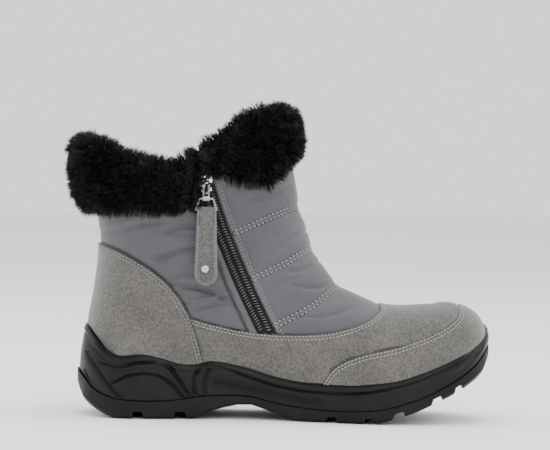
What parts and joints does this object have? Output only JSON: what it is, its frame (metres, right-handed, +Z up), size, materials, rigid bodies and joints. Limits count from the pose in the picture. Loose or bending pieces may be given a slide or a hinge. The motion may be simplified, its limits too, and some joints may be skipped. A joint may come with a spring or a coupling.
{
  "type": "snow boot",
  "caption": "Ankle-high left snow boot: quilted textile shaft, suede heel counter, foxing and toe cap, faux-fur cuff, side zip with suede pull, lugged rubber sole.",
  "frame": {"origin": "on the floor under the middle of the heel's tread, on the foot's middle line", "axes": "+X to the toe, +Y to the outer side of this left boot, +Z up; the inner side with the zip faces -Y"},
  "size_m": [0.293, 0.1104, 0.2168],
  "materials": {
    "outsole_rubber": "satin black moulded rubber",
    "midsole_rubber": "matte black moulded rubber",
    "insole_pile": "black pile",
    "shell_nylon": "grey-blue satin nylon, quilted",
    "suede": "warm grey nubuck",
    "faux_fur": "black deep-pile faux fur",
    "zip_metal": "silvery teeth on black tape",
    "dark_metal": "black plated zinc",
    "bright_metal": "bright nickel"
  },
  "bodies": {
    "boot": {"outsole": "outsole_rubber", "midsole": "midsole_rubber", "insole": "insole_pile", "upper": "shell_nylon", "heel_counter": "suede", "vamp_foxing": "suede", "toe_cap": "suede", "fur_collar": "faux_fur", "zip_chain": "zip_metal", "zip_slider": "dark_metal"},
    "link": {"pull_link": "bright_metal"},
    "tab": {"pull_ring": "dark_metal", "pull_tab": "suede", "pull_rivet": "bright_metal"}
  },
  "joints": [
    {"name": "link_hinge", "type": "hinge", "parent": "boot", "child": "link", "pos_m": [0.04036, -0.04628, 0.15951], "axis": [-1, 0, 0], "range_deg": [0, 110]},
    {"name": "tab_hinge", "type": "hinge", "parent": "link", "child": "tab", "pos_m": [0.04036, -0.04628, 0.15051], "axis": [-1, 0, 0], "range_deg": [0, 65]}
  ]
}
